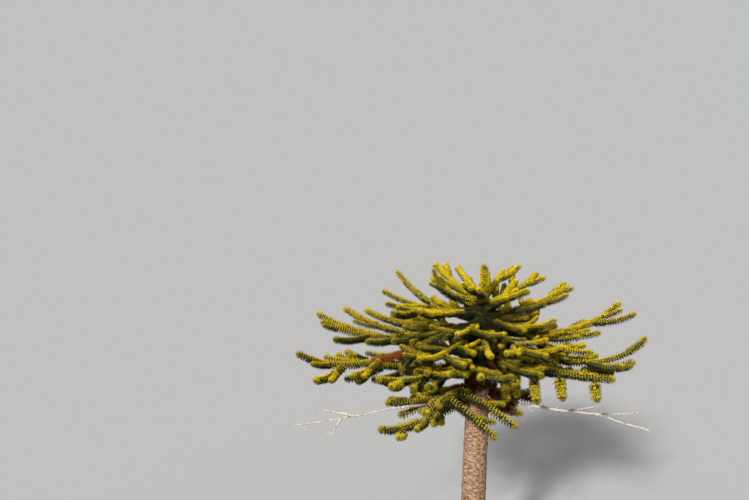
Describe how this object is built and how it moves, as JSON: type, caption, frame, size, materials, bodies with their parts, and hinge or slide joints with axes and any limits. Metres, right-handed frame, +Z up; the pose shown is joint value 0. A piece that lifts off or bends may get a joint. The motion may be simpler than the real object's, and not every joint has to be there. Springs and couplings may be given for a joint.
{
  "type": "monkey puzzle tree",
  "caption": "Young monkey puzzle tree: a bare straight trunk under a broad umbrella crown of rope-like shoots clothed in stiff overlapping leaves.",
  "frame": {"origin": "middle of the flat cut under the trunk, at ground level", "axes": "+Z up along the trunk; +Y away from the picture's camera; +X to its right"},
  "size_m": [2.9291, 1.8818, 3.4001],
  "materials": {
    "bark": "dry, matt, ringed by the scars of old leaves",
    "bough_bark": "matt brown bark",
    "dead_wood": "bleached, bare and matt",
    "leaves_top": "leathery, slightly glossy yellow-green leaves in the sun",
    "leaves_upper": "leathery, slightly glossy yellow-green leaves",
    "leaves_middle": "leathery, slightly glossy green leaves with yellow-green tips",
    "leaves_broad": "leathery, slightly glossy darker green leaves",
    "leaves_low": "leathery, slightly glossy dull green leaves"
  },
  "bodies": {
    "root": {"trunk": "bark", "foliage_top": "leaves_top", "foliage_upper_1": "leaves_upper", "foliage_upper_2": "leaves_upper", "foliage_upper_3": "leaves_upper", "foliage_upper_4": "leaves_upper", "foliage_upper_5": "leaves_upper", "foliage_upper_6": "leaves_upper", "foliage_upper_7": "leaves_upper", "foliage_upper_8": "leaves_upper", "bough_middle_1": "bough_bark", "bough_middle_2": "bough_bark", "bough_middle_3": "bough_bark", "bough_middle_4": "bough_bark", "bough_middle_5": "bough_bark", "bough_middle_6": "bough_bark", "bough_middle_7": "bough_bark", "bough_middle_8": "bough_bark", "bough_middle_9": "bough_bark", "bough_middle_10": "bough_bark", "foliage_middle_1": "leaves_middle", "foliage_middle_2": "leaves_middle", "foliage_middle_3": "leaves_middle", "foliage_middle_4": "leaves_middle", "foliage_middle_5": "leaves_middle", "foliage_middle_6": "leaves_middle", "foliage_middle_7": "leaves_middle", "foliage_middle_8": "leaves_middle", "foliage_middle_9": "leaves_middle", "foliage_middle_10": "leaves_middle", "bough_broad_1": "bough_bark", "bough_broad_2": "bough_bark", "bough_broad_3": "bough_bark", "bough_broad_4": "bough_bark", "bough_broad_5": "bough_bark", "bough_broad_6": "bough_bark", "bough_broad_7": "bough_bark", "bough_broad_8": "bough_bark", "bough_broad_9": "bough_bark", "bough_broad_10": "bough_bark", "foliage_broad_1": "leaves_broad", "foliage_broad_2": "leaves_broad", "foliage_broad_3": "leaves_broad", "foliage_broad_4": "leaves_broad", "foliage_broad_5": "leaves_broad", "foliage_broad_6": "leaves_broad", "foliage_broad_7": "leaves_broad", "foliage_broad_8": "leaves_broad", "foliage_broad_9": "leaves_broad", "foliage_broad_10": "leaves_broad", "foliage_low_1": "leaves_low", "foliage_low_2": "leaves_low", "foliage_low_3": "leaves_low", "foliage_low_4": "leaves_low", "foliage_low_5": "leaves_low", "foliage_low_6": "leaves_low", "foliage_low_7": "leaves_low", "dead_bough_left": "dead_wood", "dead_bough_right": "dead_wood"}
  },
  "joints": []
}
